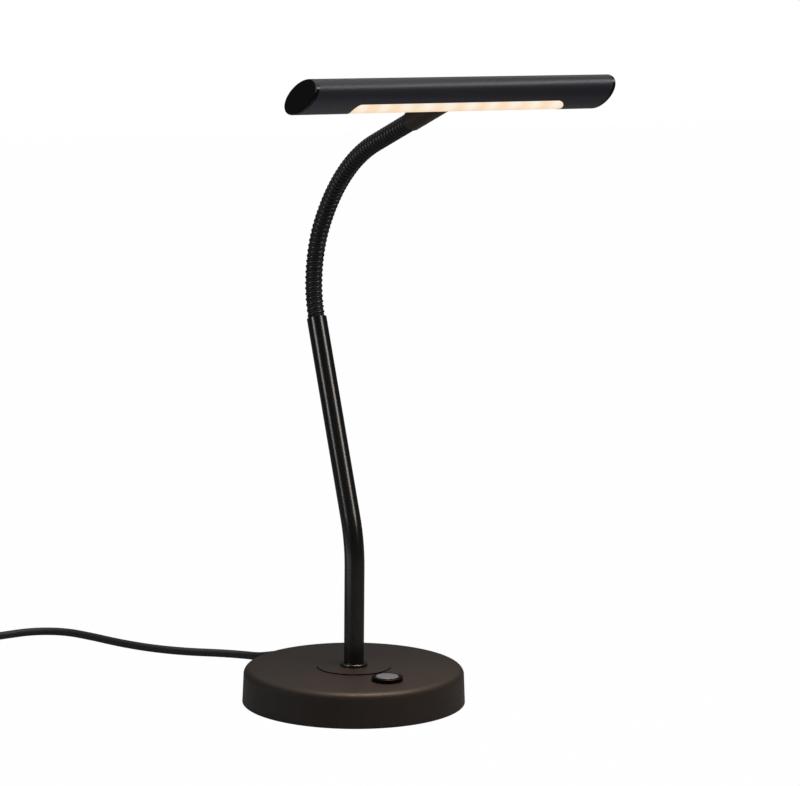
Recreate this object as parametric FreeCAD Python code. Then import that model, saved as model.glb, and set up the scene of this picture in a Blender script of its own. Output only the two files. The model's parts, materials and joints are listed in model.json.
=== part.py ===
"""A piano lamp: a round weighted base with a push switch, a bent stem, a bendable neck wound from
wire, and a slim tubular LED head with slanted ends. Millimetres, +Z up, the front is -Y.

The origin is the middle of the base's resting face. The stem and the neck lie in the plane x = 0,
and the head's axis runs along X.
"""

import FreeCAD
import Part

import math
import os

from FreeCAD import Rotation, Vector

# ---------------------------------------------------------------- driving dimensions

# base
BASE_DIAMETER = 160.0
BASE_HEIGHT = 25.0
BASE_DRAFT_DEG = 2.5
BASE_EDGE_RADIUS = 5.0
SHELL_WALL = 2.0
SHELL_LIFT = 0.2  # the shell's rim stands this far off the table
PAD_INSET = 6.0  # the pad's edge, inside the base's edge
PAD_THICKNESS = 1.5
PLATE_THICKNESS = 1.5
PLATE_EDGE_GAP = 0.4
WEIGHT_INSET = 5.5  # the weight's edge, inside the base's edge
WEIGHT_TOP = 17.0
BOSS_DIAMETER = 40.0
NUT_POCKET_DIAMETER = 26.0
NUT_POCKET_TOP = 12.0
CHANNEL_TOP = 8.5  # the lead channels under the weight end here
CHANNEL_WIDTH = 8.0
PLATE_SCREW_INSET = 20.0  # their centres, inside the base's edge
PLATE_SCREW_ANGLES = (45.0, 135.0, 215.0, 325.0)
PLATE_SCREW_RADIUS = 2.0
PLATE_SCREW_HEAD_RADIUS = 3.6
PLATE_SCREW_HEAD_HEIGHT = 1.2
PLATE_SCREW_LENGTH = 10.0

# stem
STEM_DIAMETER = 14.4
STEM_WALL = 1.2
STEM_TOP_CHAMFER = 0.5
FLANGE_DIAMETER = 53.0
FLANGE_THICKNESS = 0.8
COLLAR_DIAMETER = 19.5
COLLAR_HEIGHT = 2.5
COLLAR_EDGE_RADIUS = 0.9
STEM_CORNER_HEIGHT = 115.5  # where the vertical and the leaning line of the stem cross
STEM_BEND_RADIUS = 100.0
STEM_LEAN_DEG = 20.1
STEM_LEAN_LENGTH = 165.9  # from that crossing to the top of the stem
NIPPLE_RADIUS = 5.0
NIPPLE_BORE = 3.0
NIPPLE_IN_STEM = 19.0
NIPPLE_END_HEIGHT = 7.2
WASHER_RADIUS = 10.0
WASHER_THICKNESS = 1.2
STEM_NUT_FLATS = 16.0
STEM_NUT_HEIGHT = 3.4

# neck
NECK_BEND_RADII = (71.0, 88.0, 140.6)
NECK_BEND_ENDS_DEG = (0.0, 30.0, 70.0)  # the neck's slope, from upright, after each bend
NECK_LENGTH = 222.0
NECK_DIAMETER = 12.8
RIB_COUNT = 57
RIB_WIRE_RADIUS = 1.25
RIB_SEAM_TURN_DEG = 37.0  # keeps a ring's seam off the core's seam
CORE_RADIUS = 4.3
CORE_BORE = 2.4
HINGE_RIBS = (6, 13, 20, 27, 34, 41, 48)  # the ribs counted below each hinge
BALL_FLARE_DEG = 17.0  # the mouth of the bore in a ball end, which lets the lead turn with the hinge
FERRULE_LENGTH = 16.0
FERRULE_SEAT = 12.0
LEAD_RADIUS = 1.7
LEAD_HINGE_GAP = 0.5

# sleeve between neck and head
SLEEVE_DIAMETER = 14.2
SLEEVE_LENGTH = 59.3  # from its mouth to the head's axis
SLEEVE_SEAT = 22.0
GRUB_RADIUS = 1.5
GRUB_FROM_MOUTH = 5.0
GRUB_TURN_DEG = 20.0
SPIGOT_RADIUS = 3.5
SPIGOT_BORE = 1.9
LOCK_NUT_FLATS = 9.4
LOCK_NUT_HEIGHT = 2.3

# head
HEAD_DIAMETER = 22.9
HEAD_WALL = 1.2
HEAD_LENGTH = 233.8
HEAD_SHIFT = -1.3  # the head's middle, from the sleeve's line
HEAD_SLANT_DEG = 34.4
HEAD_SLANT_TURN_DEG = 65.0  # which way the ends slant: from straight forward, turned up
CAP_THICKNESS = 3.0
CAP_PLUG_LENGTH = 6.0
CAP_PLUG_WALL = 1.6
CAP_EDGE_RADIUS = 0.9
SLOT_LENGTH = 164.5
SLOT_AIM_DEG = 70.0  # the slot's middle, below straight forward
SLOT_HALF_ANGLE_DEG = 43.5
SLOT_CORNER_RADIUS = 6.3
DIFFUSER_WALL = 1.5
DIFFUSER_RIM = 3.5
DIFFUSER_HALF_ANGLE_DEG = 54.0
DIFFUSER_RECESS = 0.2
SINK_OFFSET = 5.5  # the heat sink's flat face, from the head's axis
SINK_LENGTH = 178.0
BOARD_LENGTH = 172.0
BOARD_WIDTH = 8.0
BOARD_THICKNESS = 1.0
CHIP_COUNT = 10
CHIP_PITCH = 16.7
CHIP_SIZE = (3.5, 2.8, 0.8)
BOARD_SCREW_RADIUS = 1.0
BOARD_SCREW_HEAD_RADIUS = 1.9
BOARD_SCREW_HEAD_HEIGHT = 1.0
BOARD_SCREW_LENGTH = 4.0
BOARD_SCREW_PLACES = (-66.8, -33.4, 33.4, 66.8)

# switch
SWITCH_INSET = 33.0  # the switch's centre, inside the base's front edge
BEZEL_DIAMETER = 22.0
BEZEL_HEIGHT = 3.1
BEZEL_EDGE = 0.4
BARREL_RADIUS = 9.4
BARREL_BOTTOM = 13.0
BARREL_FLOOR = 2.0
BUTTON_RADIUS = 8.05
BUTTON_CAP_HEIGHT = 3.7
BUTTON_RISE = 0.3  # the button's top above the bezel's
BUTTON_EDGE_RADIUS = 0.6
BUTTON_SHAFT_RADIUS = 3.0
BUTTON_SHAFT_LENGTH = 8.4
SWITCH_CAN_BOTTOM = 4.0
SWITCH_NUT_FLATS = 24.0
SWITCH_NUT_HEIGHT = 3.0
SWITCH_POCKET_RADIUS = 15.0
SPRING_RADIUS = 5.5
SPRING_WIRE_RADIUS = 0.45
SPRING_TURNS = 7

# electrics in the base
DRIVER_BOX = (34.0, 54.0, 13.0)
DRIVER_INSET = 35.0  # the unit's centre, inside the base's left edge
TERMINAL_BOX = (26.0, 18.0, 11.0)
TERMINAL_INSET = 40.0  # the block's centre, inside the base's rear edge
UNIT_EDGE = 1.0
POCKET_GAP = 2.0
WIRE_RADIUS = 1.15
WIRE_HEIGHTS = (4.5, 6.9)
WIRE_BEND_SHARE = 0.18  # of the shorter run beside a corner, kept small by the channel
SWITCH_WIRE_CORNER = (33.0, 0.0)
SWITCH_WIRE_START_X = 10.0
DRIVER_WIRE_START = 20.0  # both in front of the terminal block's centre
DRIVER_WIRE_END = 4.0
STEM_LEAD_HEIGHT = 5.2
STEM_LEAD_BEND = 4.0

# cord, its bushing, clamp and plug
CORD_DIAMETER = 6.0
CORD_HEIGHT = 10.0  # where it leaves the base
BUSHING_LENGTH = 25.8
BUSHING_RADIUS = 6.5
BUSHING_TIP_RADIUS = 4.0
BUSHING_NECK_RADIUS = 4.8
BUSHING_FLANGE_RADIUS = 6.8
BUSHING_FLANGE = 2.0
CLAMP_SIZE = (24.0, 8.0, 2.0)
CLAMP_INSET = 20.0  # the clamp's centre, inside the base's rear edge
CLAMP_SCREW_SPACING = 17.0
CLAMP_SCREW_RADIUS = 1.5
CLAMP_SCREW_HEAD_RADIUS = 2.7
CLAMP_SCREW_HEAD_HEIGHT = 1.6
CLAMP_SCREW_LENGTH = 8.0
CORD_CHANNEL_WIDTH = 8.0
CORD_ROUTE = [
    (0.0, 105.8, 10.0),
    (0.0, 119.0, 10.0),
    (-2.0, 135.0, 5.6),
    (-9.0, 151.0, 3.0),
    (-24.0, 165.0, 3.0),
    (-43.0, 180.0, 3.0),
    (-61.0, 202.0, 3.0),
    (-75.0, 230.0, 3.0),
    (-85.0, 261.0, 3.0),
    (-96.0, 287.0, 3.0),
    (-118.0, 300.0, 3.0),
    (-144.0, 297.5, 3.0),
    (-169.0, 295.0, 3.0),
    (-194.0, 296.5, 3.0),
    (-215.0, 299.0, 3.0),
]
COIL_CENTRE = (-228.0, 256.0)
COIL_TURN_RADII = (24.0, 30.0, 36.0, 42.0)
COIL_LAYERS = 2
PLUG_RUN = [
    (-269.6, 242.0, 9.0),
    (-270.0, 230.0, 6.9),
    (-270.0, 218.0, 6.9),
]
PLUG_RELIEF_LENGTH = 22.0
PLUG_RELIEF_RADIUS = 5.2
PLUG_RELIEF_TIP_RADIUS = 3.8
PLUG_SIZE = (26.5, 36.0, 13.8)
PLUG_CORNER_RADIUS = 5.0
PLUG_EDGE_RADIUS = 1.5
PLUG_PIN_RADIUS = 2.0
PLUG_PIN_LENGTH = 19.0
PLUG_PIN_SPACING = 18.6
PLUG_PIN_EDGE = 0.9

# clearances
SLIP = 0.05  # between a shaft and the hole that it passes or sits in
SEAT = 0.1  # between a piece and the face that carries it
CLEAR = 0.2  # round a piece in an opening made for it
HINGE_CLEAR = 0.1  # round a ball end in its socket
REACH = 400.0  # longer than any piece, for cutting tools

# ---------------------------------------------------------------- derived sizes

BASE_RADIUS = BASE_DIAMETER / 2
PAD_RADIUS = BASE_RADIUS - PAD_INSET
WEIGHT_RADIUS = BASE_RADIUS - WEIGHT_INSET
SHELL_TAPER = math.tan(math.radians(BASE_DRAFT_DEG))
ROOF = BASE_HEIGHT - SHELL_WALL
PLATE_TOP = PAD_THICKNESS + PLATE_THICKNESS
WEIGHT_BOTTOM = PLATE_TOP + SEAT
STEM_RADIUS = STEM_DIAMETER / 2
STEM_BORE = STEM_RADIUS - STEM_WALL
STEM_FOOT = BASE_HEIGHT + FLANGE_THICKNESS
NECK_RADIUS = NECK_DIAMETER / 2
RIB_PITCH = NECK_LENGTH / RIB_COUNT
HEAD_RADIUS = HEAD_DIAMETER / 2
HEAD_BORE = HEAD_RADIUS - HEAD_WALL
SLEEVE_RADIUS = SLEEVE_DIAMETER / 2
SWITCH_AT = Vector(0, SWITCH_INSET - BASE_RADIUS, 0)
DRIVER_CENTRE_X = DRIVER_INSET - BASE_RADIUS
TERMINAL_CENTRE_Y = BASE_RADIUS - TERMINAL_INSET
CLAMP_Y = BASE_RADIUS - CLAMP_INSET
BEZEL_TOP = BASE_HEIGHT + BEZEL_HEIGHT
BUTTON_BORE = BUTTON_RADIUS + CLEAR
BARREL_FLOOR_TOP = BARREL_BOTTOM + BARREL_FLOOR
BUTTON_TOP = BEZEL_TOP + BUTTON_RISE
BUTTON_CAP_BOTTOM = BUTTON_TOP - BUTTON_CAP_HEIGHT
CORD_RADIUS = CORD_DIAMETER / 2

X_AXIS = Vector(1, 0, 0)
Y_AXIS = Vector(0, 1, 0)
Z_AXIS = Vector(0, 0, 1)
FRONT = Vector(0, -1, 0)


# ---------------------------------------------------------------- the line of stem and neck


def bend(start, start_deg, end_deg, radius):
    """One stretch of the lamp's line: a bend in the plane x = 0 between two slopes from upright."""
    sign = 1.0 if end_deg > start_deg else -1.0
    length = radius * math.radians(abs(end_deg - start_deg))
    return {"start": start, "deg": start_deg, "turn": sign / radius, "length": length}


def straight(start, deg, length):
    """One straight stretch of the lamp's line."""
    return {"start": start, "deg": deg, "turn": 0.0, "length": length}


def heading(deg):
    """The direction that is turned forward by deg from upright."""
    return Vector(0, -math.sin(math.radians(deg)), math.cos(math.radians(deg)))


def along(piece, distance):
    """The point and the direction at a distance along one stretch."""
    start, deg, turn = piece["start"], piece["deg"], piece["turn"]
    if turn == 0.0:
        return start + heading(deg) * distance, heading(deg)
    end = deg + math.degrees(turn * distance)
    a, b = math.radians(deg), math.radians(end)
    move = Vector(0, (math.cos(b) - math.cos(a)) / turn, (math.sin(b) - math.sin(a)) / turn)
    return start + move, heading(end)


def lamp_line():
    """The stretches of the centre line, from the table up through stem and neck to the head's axis."""
    tangent = STEM_BEND_RADIUS * math.tan(math.radians(STEM_LEAN_DEG) / 2)
    line = [straight(Vector(0, 0, 0), 0.0, STEM_CORNER_HEIGHT - tangent)]
    line.append(bend(line_end(line), 0.0, -STEM_LEAN_DEG, STEM_BEND_RADIUS))
    line.append(straight(line_end(line), -STEM_LEAN_DEG, STEM_LEAN_LENGTH - tangent))
    slope = -STEM_LEAN_DEG
    for radius, end_deg in zip(NECK_BEND_RADII, NECK_BEND_ENDS_DEG):
        line.append(bend(line_end(line), slope, end_deg, radius))
        slope = end_deg
    bent = sum(piece["length"] for piece in line[3:])
    line.append(straight(line_end(line), slope, NECK_LENGTH - bent + SLEEVE_LENGTH))
    return line


def line_end(line):
    return along(line[-1], line[-1]["length"])[0]


LINE = lamp_line()
NECK_START = sum(piece["length"] for piece in LINE[:3])
NECK_END = NECK_START + NECK_LENGTH
HINGES = [NECK_START + ribs * RIB_PITCH for ribs in HINGE_RIBS]
HEAD_CENTRE = line_end(LINE)
HEAD_MIDDLE = HEAD_CENTRE + X_AXIS * HEAD_SHIFT
SLEEVE_DIRECTION = heading(NECK_BEND_ENDS_DEG[-1])


def at(distance):
    """The point and direction at a distance along the whole centre line."""
    for piece in LINE[:-1]:
        if distance < piece["length"]:
            return along(piece, distance)
        distance -= piece["length"]
    return along(LINE[-1], distance)


def line_wire(low, high, lead_in=()):
    """The centre line between two distances, as lines and arcs, after any edges that lead into it."""
    edges = list(lead_in)
    passed = 0.0
    for piece in LINE:
        a = max(low - passed, 0.0)
        b = min(high - passed, piece["length"])
        passed += piece["length"]
        if b - a < 1e-6:
            continue
        p, q = along(piece, a)[0], along(piece, b)[0]
        if piece["turn"] == 0.0:
            edges.append(Part.LineSegment(p, q).toShape())
        else:
            edges.append(Part.Arc(p, along(piece, (a + b) / 2)[0], q).toShape())
    return Part.Wire(edges)


# ---------------------------------------------------------------- shape helpers


def rod(radius, start, direction, length):
    return Part.makeCylinder(radius, length, start, direction)


def disc(radius, low, high, centre=Vector(0, 0, 0)):
    """An upright cylinder between two heights."""
    return rod(radius, Vector(centre.x, centre.y, low), Z_AXIS, high - low)


def ring(outer, inner, low, high, centre=Vector(0, 0, 0)):
    return disc(outer, low, high, centre).cut(disc(inner, low, high, centre))


def box(low, high):
    size = Vector(*high) - Vector(*low)
    return Part.makeBox(size.x, size.y, size.z, Vector(*low))


def tube_along(wire, radius):
    """A round bar swept along a wire that starts at the wire's first point."""
    start = wire.OrderedVertexes[0].Point
    direction = wire.OrderedEdges[0].tangentAt(wire.OrderedEdges[0].FirstParameter)
    if (wire.OrderedEdges[0].valueAt(wire.OrderedEdges[0].FirstParameter) - start).Length > 1e-6:
        direction = -wire.OrderedEdges[0].tangentAt(wire.OrderedEdges[0].LastParameter)
    profile = Part.Wire([Part.Circle(start, direction, radius).toShape()])
    return wire.makePipeShell([profile], True, False)


def hexagon(flats, start, direction, height, across=Y_AXIS):
    """A six-sided bar whose flats face across."""
    corner = flats / 2 / math.cos(math.radians(30))
    points = []
    for i in range(7):
        turn = Rotation(direction, 30 + 60 * i)
        points.append(start + turn.multVec(across) * corner)
    return Part.Face(Part.makePolygon(points)).extrude(direction * height)


def edges_at_height(shape, z):
    """The edges that lie flat at one height."""
    return [e for e in shape.Edges if abs(e.BoundBox.ZMin - z) + abs(e.BoundBox.ZMax - z) < 1e-4]


def upright_edges(shape, height):
    return [e for e in shape.Edges if abs(e.BoundBox.ZLength - height) < 1e-6]


def rounded_route(points, share=0.45):
    """Straight runs joined by tangent arcs, each of which takes up a share of its shorter run."""
    points = [Vector(*p) for p in points]
    edges, start, radii = [], points[0], []
    for before, corner, after in zip(points, points[1:], points[2:]):
        back, on = before - corner, after - corner
        turn = math.pi - back.getAngle(on)
        cut = share * min(back.Length, on.Length)
        radii.append(cut / math.tan(turn / 2))
        back.normalize()
        on.normalize()
        middle = back + on
        middle.normalize()
        p, q = corner + back * cut, corner + on * cut
        to_centre = radii[-1] / math.cos(turn / 2)
        top = corner + middle * (to_centre - radii[-1])
        edges.append(Part.LineSegment(start, p).toShape())
        edges.append(Part.Arc(p, top, q).toShape())
        start = q
    edges.append(Part.LineSegment(start, points[-1]).toShape())
    return Part.Wire(edges), radii


def save(name, *solids):
    """Writes one sub-part, which is one solid or a group of like solids."""
    shape = solids[0] if len(solids) == 1 else Part.makeCompound(list(solids))
    shape.exportStep("parts/" + name + ".step")


# ---------------------------------------------------------------- base


def shell_radius(z):
    """The outside radius of the base at a height, without its rounded edge."""
    return BASE_RADIUS - (z - SHELL_LIFT) * SHELL_TAPER


def base_shell():
    height = BASE_HEIGHT - SHELL_LIFT
    bottom = Vector(0, 0, SHELL_LIFT)
    outside = Part.makeCone(shell_radius(SHELL_LIFT), shell_radius(BASE_HEIGHT), height, bottom)
    outside = outside.makeFillet(BASE_EDGE_RADIUS, edges_at_height(outside, BASE_HEIGHT))
    inner_low = shell_radius(SHELL_LIFT) - SHELL_WALL
    inner_high = shell_radius(ROOF) - SHELL_WALL
    inside = Part.makeCone(inner_low, inner_high, ROOF - SHELL_LIFT, bottom)
    inside = inside.makeFillet(BASE_EDGE_RADIUS - SHELL_WALL, edges_at_height(inside, ROOF))
    shell = outside.cut(inside)
    shell = shell.cut(disc(NIPPLE_RADIUS + CLEAR, ROOF - 1, BASE_HEIGHT + 1))
    shell = shell.cut(disc(BARREL_RADIUS + CLEAR, ROOF - 1, BASE_HEIGHT + 1, SWITCH_AT))
    cord_hole = rod(BUSHING_NECK_RADIUS + SLIP, Vector(0, 0, CORD_HEIGHT), Y_AXIS, BASE_RADIUS + 1)
    return shell.cut(cord_hole)


def wall_inside(z, x):
    """How far back the inner face of the shell's rear wall lies, at a height and beside x = 0."""
    return math.sqrt((shell_radius(z) - SHELL_WALL) ** 2 - x**2)


def screw_places():
    radius = BASE_RADIUS - PLATE_SCREW_INSET
    for deg in PLATE_SCREW_ANGLES:
        turn = math.radians(deg)
        yield Vector(radius * math.cos(turn), radius * math.sin(turn), 0)


def channel(start, end, top):
    """A straight channel of the leads, cut up into the weight from below."""
    run = Vector(end[0] - start[0], end[1] - start[1], 0)
    low, high = WEIGHT_BOTTOM - 1, top
    slab = box((0, -CHANNEL_WIDTH / 2, low), (run.Length, CHANNEL_WIDTH / 2, high))
    slab.rotate(Vector(0, 0, 0), Z_AXIS, math.degrees(math.atan2(run.y, run.x)))
    slab.translate(Vector(start[0], start[1], 0))
    return slab


def switch_wire_points():
    """The corners, seen from above, of the wires from the terminal block to the switch."""
    start = (SWITCH_WIRE_START_X, TERMINAL_CENTRE_Y - TERMINAL_BOX[1] / 2 - WIRE_RADIUS)
    corner = Vector(*SWITCH_WIRE_CORNER, 0)
    to_corner = corner - SWITCH_AT
    to_corner.normalize()
    end = SWITCH_AT + to_corner * (BARREL_RADIUS + WIRE_RADIUS / 2)
    return start, SWITCH_WIRE_CORNER, (end.x, end.y)


def driver_wire_points():
    """The ends, seen from above, of the wires from the driver to the terminal block."""
    return (
        (DRIVER_CENTRE_X + DRIVER_BOX[0] / 2 + WIRE_RADIUS, TERMINAL_CENTRE_Y - DRIVER_WIRE_START),
        (-TERMINAL_BOX[0] / 2 - WIRE_RADIUS, TERMINAL_CENTRE_Y - DRIVER_WIRE_END),
    )


def pocket(centre_x, centre_y, size):
    """The room for a box-shaped unit, right through the weight."""
    half_x, half_y = size[0] / 2 + POCKET_GAP, size[1] / 2 + POCKET_GAP
    return box(
        (centre_x - half_x, centre_y - half_y, WEIGHT_BOTTOM - 1),
        (centre_x + half_x, centre_y + half_y, WEIGHT_TOP + 1),
    )


def base_weight():
    weight = disc(WEIGHT_RADIUS, WEIGHT_BOTTOM, WEIGHT_TOP)
    weight = weight.fuse(disc(BOSS_DIAMETER / 2, WEIGHT_BOTTOM, ROOF - SLIP))
    flange_room = BUSHING_FLANGE_RADIUS + POCKET_GAP
    cuts = [
        disc(NUT_POCKET_DIAMETER / 2, WEIGHT_BOTTOM - 1, NUT_POCKET_TOP),
        disc(NIPPLE_RADIUS + CLEAR, WEIGHT_BOTTOM, ROOF + 1),
        disc(SWITCH_POCKET_RADIUS, WEIGHT_BOTTOM - 1, WEIGHT_TOP + 1, SWITCH_AT),
        pocket(DRIVER_CENTRE_X, 0, DRIVER_BOX),
        pocket(0, TERMINAL_CENTRE_Y, TERMINAL_BOX),
        channel((DRIVER_CENTRE_X, 0), (0, 0), CHANNEL_TOP),
        channel(*driver_wire_points(), CHANNEL_TOP),
        channel(*switch_wire_points()[:2], CHANNEL_TOP),
        channel(*switch_wire_points()[1:], CHANNEL_TOP),
        disc(CHANNEL_WIDTH / 2, WEIGHT_BOTTOM - 1, CHANNEL_TOP, Vector(*SWITCH_WIRE_CORNER, 0)),
        box(
            (-CORD_CHANNEL_WIDTH / 2, TERMINAL_CENTRE_Y, CORD_HEIGHT - CORD_RADIUS - SEAT),
            (CORD_CHANNEL_WIDTH / 2, WEIGHT_RADIUS + 1, WEIGHT_TOP + 1),
        ),
        box(
            (-flange_room, WEIGHT_RADIUS - 2 * POCKET_GAP, WEIGHT_BOTTOM - 1),
            (flange_room, WEIGHT_RADIUS + 1, WEIGHT_TOP + 1),
        ),
    ]
    plate_hole, clamp_hole = PLATE_SCREW_RADIUS + SLIP, CLAMP_SCREW_RADIUS + SLIP
    for place in screw_places():
        cuts.append(disc(plate_hole, WEIGHT_BOTTOM - 1, PAD_THICKNESS + PLATE_SCREW_LENGTH + SEAT, place))
    for place in clamp_screw_places():
        cuts.append(disc(clamp_hole, WEIGHT_TOP - CLAMP_SCREW_LENGTH, WEIGHT_TOP + 1, place))
    return cut_all(weight, cuts)


def cut_all(shape, cuts):
    for tool in cuts:
        shape = shape.cut(tool)
    return shape


def base_plate():
    plate = disc(shell_radius(PLATE_TOP) - SHELL_WALL - PLATE_EDGE_GAP, PAD_THICKNESS, PLATE_TOP)
    holes = [disc(PLATE_SCREW_RADIUS + CLEAR, PAD_THICKNESS, PLATE_TOP, p) for p in screw_places()]
    return cut_all(plate, holes)


def base_pad():
    pad = disc(PAD_RADIUS, 0, PAD_THICKNESS)
    holes = [disc(PLATE_SCREW_HEAD_RADIUS + CLEAR, 0, PAD_THICKNESS, p) for p in screw_places()]
    return cut_all(pad, holes)


def plate_screw(place):
    head_bottom = PAD_THICKNESS - PLATE_SCREW_HEAD_HEIGHT
    head = disc(PLATE_SCREW_HEAD_RADIUS, head_bottom, PAD_THICKNESS, place)
    shank = disc(PLATE_SCREW_RADIUS, PAD_THICKNESS, PAD_THICKNESS + PLATE_SCREW_LENGTH, place)
    return head.fuse(shank).removeSplitter()


# ---------------------------------------------------------------- stem


def stem_flange():
    flange = disc(FLANGE_DIAMETER / 2, BASE_HEIGHT, STEM_FOOT)
    return flange.cut(disc(NIPPLE_RADIUS + CLEAR, BASE_HEIGHT, STEM_FOOT))


def stem_collar():
    top = STEM_FOOT + COLLAR_HEIGHT
    collar = disc(COLLAR_DIAMETER / 2, STEM_FOOT, top)
    collar = collar.makeFillet(COLLAR_EDGE_RADIUS, edges_at_height(collar, top))
    return collar.cut(disc(STEM_RADIUS + SLIP, STEM_FOOT, top))


def stem_tube():
    wire = line_wire(STEM_FOOT, NECK_START)
    tube = tube_along(wire, STEM_RADIUS).cut(tube_along(wire, STEM_BORE))
    top, direction = at(NECK_START)
    cone = Part.makeCone(
        STEM_RADIUS + STEM_TOP_CHAMFER,
        STEM_RADIUS - STEM_TOP_CHAMFER,
        2 * STEM_TOP_CHAMFER,
        top - direction * STEM_TOP_CHAMFER * 2,
        direction,
    )
    above_chamfer = rod(STEM_RADIUS + 1, top - direction * STEM_TOP_CHAMFER, direction, STEM_TOP_CHAMFER)
    return tube.cut(above_chamfer.cut(cone))


def stem_nipple():
    shank = disc(NIPPLE_RADIUS, NIPPLE_END_HEIGHT, STEM_FOOT)
    head = disc(STEM_BORE - SLIP, STEM_FOOT, STEM_FOOT + NIPPLE_IN_STEM)
    bore = disc(NIPPLE_BORE, NIPPLE_END_HEIGHT - 1, STEM_FOOT + NIPPLE_IN_STEM + 1)
    return shank.fuse(head).removeSplitter().cut(bore)


def stem_washer():
    return ring(WASHER_RADIUS, NIPPLE_RADIUS + SLIP, NUT_POCKET_TOP - WASHER_THICKNESS, NUT_POCKET_TOP)


def stem_nut():
    low = NUT_POCKET_TOP - WASHER_THICKNESS - STEM_NUT_HEIGHT
    nut = hexagon(STEM_NUT_FLATS, Vector(0, 0, low), Z_AXIS, STEM_NUT_HEIGHT)
    return nut.cut(disc(NIPPLE_RADIUS + SLIP / 2, low, low + STEM_NUT_HEIGHT))


# ---------------------------------------------------------------- neck


def neck_ferrule():
    """The bush in the stem's top that holds the neck's lower end."""
    low, direction = at(NECK_START - FERRULE_LENGTH)
    bush = rod(STEM_BORE - SLIP, low, direction, FERRULE_LENGTH)
    bush = bush.cut(rod(CORE_BORE, low, direction, FERRULE_LENGTH))
    seat = FERRULE_LENGTH - FERRULE_SEAT
    return bush.cut(rod(CORE_RADIUS + SLIP, low + direction * seat, direction, FERRULE_SEAT))


def neck_coil(index):
    """One length of the neck: ribs of round wire on a hollow core, with a ball end at the hinge
    above it and a socket for the ball at the hinge below it."""
    first = HINGE_RIBS[index - 1] if index > 0 else 0
    last = HINGE_RIBS[index] if index < len(HINGES) else RIB_COUNT
    low = HINGES[index - 1] if index > 0 else NECK_START - FERRULE_SEAT + SEAT
    high = HINGES[index] if index < len(HINGES) else NECK_END + SLEEVE_SEAT - SEAT
    coil = tube_along(line_wire(low, high), CORE_RADIUS)
    ribs = []
    for rib in range(first, last):
        point, direction = at(NECK_START + (rib + 0.5) * RIB_PITCH)
        wire = Part.makeTorus(NECK_RADIUS - RIB_WIRE_RADIUS, RIB_WIRE_RADIUS, point, direction)
        wire.rotate(point, direction, RIB_SEAM_TURN_DEG)
        ribs.append(wire)
    coil = coil.fuse(ribs)
    if index < len(HINGES):
        coil = coil.fuse(Part.makeSphere(CORE_RADIUS, at(high)[0]))
        mouth, direction = at(high)
        mouth_radius = CORE_BORE + CORE_RADIUS * math.tan(math.radians(BALL_FLARE_DEG))
        coil = coil.cut(Part.makeCone(CORE_BORE, mouth_radius, CORE_RADIUS, mouth, direction))
        high += CORE_RADIUS
    if index > 0:
        coil = coil.cut(Part.makeSphere(CORE_RADIUS + HINGE_CLEAR, at(low)[0]))
    return coil.cut(tube_along(line_wire(low - 1, high + 1), CORE_BORE))


def neck_lead(index):
    """The length of the LED lead that runs in one length of the neck."""
    low = HINGES[index - 1] + LEAD_HINGE_GAP / 2
    high = HINGES[index] - LEAD_HINGE_GAP / 2
    return tube_along(line_wire(low, high), LEAD_RADIUS)


def stem_lead():
    """The LED lead from the driver, up through the nipple and the stem to the neck's first hinge."""
    start = Vector(DRIVER_CENTRE_X + DRIVER_BOX[0] / 2 + SEAT, 0, STEM_LEAD_HEIGHT)
    turn = Vector(-STEM_LEAD_BEND, 0, STEM_LEAD_HEIGHT)
    up = Vector(0, 0, STEM_LEAD_HEIGHT + STEM_LEAD_BEND)
    chord = STEM_LEAD_BEND * math.sqrt(0.5)
    middle = Vector(chord - STEM_LEAD_BEND, 0, up.z - chord)
    lead_in = [Part.LineSegment(start, turn).toShape(), Part.Arc(turn, middle, up).toShape()]
    wire = line_wire(up.z, HINGES[0] - LEAD_HINGE_GAP / 2, lead_in)
    return tube_along(wire, LEAD_RADIUS)


# ---------------------------------------------------------------- head

SLOT_OUT = Vector(0, -math.cos(math.radians(SLOT_AIM_DEG)), -math.sin(math.radians(SLOT_AIM_DEG)))
SLOT_ACROSS = SLOT_OUT.cross(X_AXIS)
BOARD_FACE = SINK_OFFSET - BOARD_THICKNESS


def head_rod(radius, length):
    """A bar on the head's axis."""
    return rod(radius, HEAD_MIDDLE - X_AXIS * (length / 2), X_AXIS, length)


def head_block(across, low, high, length, offset=0.0):
    """A block along the head between two distances from its axis, away from the slot."""
    block = Part.makeBox(length, across, high - low)
    block.translate(Vector(-length / 2 + offset, -across / 2, low))
    turn = Rotation(X_AXIS, SLOT_ACROSS, SLOT_OUT * -1, "ZXY")
    block.Placement = FreeCAD.Placement(HEAD_MIDDLE, turn).multiply(block.Placement)
    return block


def beyond_end(side, inset):
    """All the space beyond one slanted end of the head, moved in by a distance along X."""
    slant, turned = math.tan(math.radians(HEAD_SLANT_DEG)), math.radians(HEAD_SLANT_TURN_DEG)
    lean = Vector(0, -math.cos(turned), math.sin(turned)) * slant
    normal = (X_AXIS - lean) * side
    normal.normalize()
    face = HEAD_MIDDLE + X_AXIS * side * (HEAD_LENGTH / 2 - inset)
    return rod(REACH / 4, face, normal, REACH / 4)


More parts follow.
